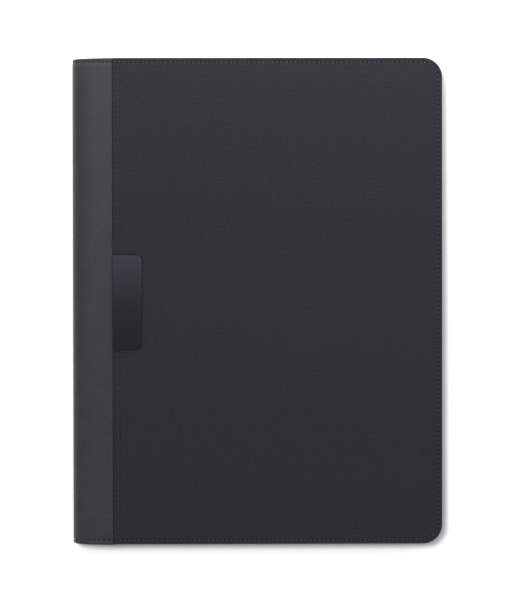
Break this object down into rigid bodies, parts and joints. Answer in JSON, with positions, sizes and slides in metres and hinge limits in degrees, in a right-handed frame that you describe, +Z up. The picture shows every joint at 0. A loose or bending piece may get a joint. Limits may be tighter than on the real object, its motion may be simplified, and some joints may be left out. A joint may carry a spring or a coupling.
{
  "type": "padfolio",
  "caption": "Slim padfolio with fabric-covered boards, a soft leather-look spine and a small metal tab, holding a writing pad, pockets and a pen loop.",
  "frame": {"origin": "middle of the back cover's outer face, on which the closed padfolio lies", "axes": "+X from the spine to the fore edge, +Y to the head of the cover, +Z up through the front cover"},
  "size_m": [0.2414, 0.3174, 0.02],
  "materials": {
    "fabric": "fine charcoal twill bonded to the board",
    "leather": "smooth satin charcoal leather-look",
    "lining": "plain matt charcoal lining",
    "greyboard": "grey board, sealed inside the cover",
    "plate": "polished gunmetal",
    "paper": "matt ruled writing paper",
    "kraft": "plain chipboard",
    "tape": "black binding tape",
    "elastic": "ribbed black elastic"
  },
  "bodies": {
    "back_cover": {"back_fabric": "fabric", "back_board": "greyboard", "back_leather": "leather", "back_lining": "lining", "pad_backing_board": "kraft", "pad_paper": "paper", "pad_binding_tape": "tape", "pad_sleeve": "lining", "pen_loop": "elastic"},
    "spine": {"spine_leather": "leather", "spine_lining": "lining"},
    "front_cover": {"front_fabric": "fabric", "front_board": "greyboard", "front_leather": "leather", "front_lining": "lining", "badge_plate": "plate", "document_pocket": "lining", "card_pocket_1": "lining", "card_pocket_2": "lining", "card_pocket_3": "lining"}
  },
  "joints": [
    {"name": "spine_hinge", "type": "hinge", "parent": "back_cover", "child": "spine", "pos_m": [-0.11843, 0, 0.00463], "axis": [0, -1, 0], "range_deg": [0, 84]},
    {"name": "cover_hinge", "type": "hinge", "parent": "spine", "child": "front_cover", "pos_m": [-0.11843, 0, 0.01437], "axis": [0, -1, 0], "range_deg": [0, 96]}
  ]
}
